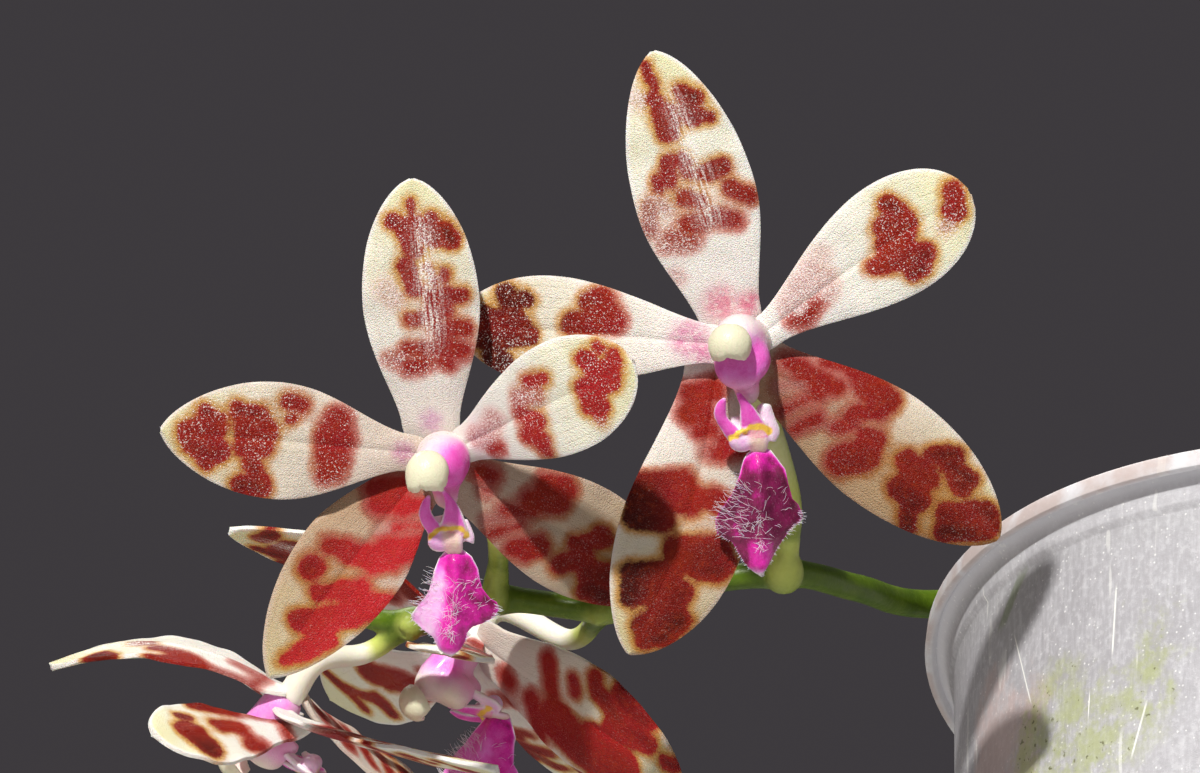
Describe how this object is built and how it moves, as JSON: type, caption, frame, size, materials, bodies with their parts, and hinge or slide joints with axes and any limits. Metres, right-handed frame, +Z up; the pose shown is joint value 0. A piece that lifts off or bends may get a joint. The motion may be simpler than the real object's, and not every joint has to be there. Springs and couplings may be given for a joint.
{
  "type": "potted moth orchid",
  "caption": "Small spotted moth orchid in flower, in a clear plastic pot of bark: arching leaves, aerial roots and a hanging spray of star-shaped blooms.",
  "frame": {"origin": "middle of the pot's underside, on the surface that the pot stands on", "axes": "+Z up; +X away from the flower spike's side; the blooms hang over -X and face -Y; the leaves stand in two ranks along -Y and +Y"},
  "size_m": [0.1501, 0.2526, 0.1301],
  "materials": {
    "clear_plastic": "frosted",
    "bark": "rough",
    "crown_green": "satin",
    "leaf": "satin",
    "root": "matte",
    "stem": "satin",
    "bud": "satin",
    "sepal": "satin",
    "petal": "satin",
    "column": "satin",
    "anther_cap": "satin",
    "lip": "satin"
  },
  "bodies": {
    "root": {"pot": "clear_plastic", "bark": "bark", "crown": "crown_green", "leaf_1": "leaf", "leaf_2": "leaf", "leaf_3": "leaf", "leaf_4": "leaf", "leaf_5": "leaf", "root_1": "root", "root_2": "root", "root_3": "root", "root_4": "root", "flower_spike": "stem", "bud": "bud", "bloom_1_sepal_dorsal": "sepal", "bloom_1_sepal_left": "sepal", "bloom_1_sepal_right": "sepal", "bloom_1_petal_left": "petal", "bloom_1_petal_right": "petal", "bloom_1_column": "column", "bloom_1_anther_cap": "anther_cap", "bloom_1_lip": "lip", "bloom_2_sepal_dorsal": "sepal", "bloom_2_sepal_left": "sepal", "bloom_2_sepal_right": "sepal", "bloom_2_petal_left": "petal", "bloom_2_petal_right": "petal", "bloom_2_column": "column", "bloom_2_anther_cap": "anther_cap", "bloom_2_lip": "lip", "bloom_3_sepal_dorsal": "sepal", "bloom_3_sepal_left": "sepal", "bloom_3_sepal_right": "sepal", "bloom_3_petal_left": "petal", "bloom_3_petal_right": "petal", "bloom_3_column": "column", "bloom_3_anther_cap": "anther_cap", "bloom_3_lip": "lip", "bloom_4_sepal_dorsal": "sepal", "bloom_4_sepal_left": "sepal", "bloom_4_sepal_right": "sepal", "bloom_4_petal_left": "petal", "bloom_4_petal_right": "petal", "bloom_4_column": "column", "bloom_4_anther_cap": "anther_cap", "bloom_4_lip": "lip"}
  },
  "joints": []
}
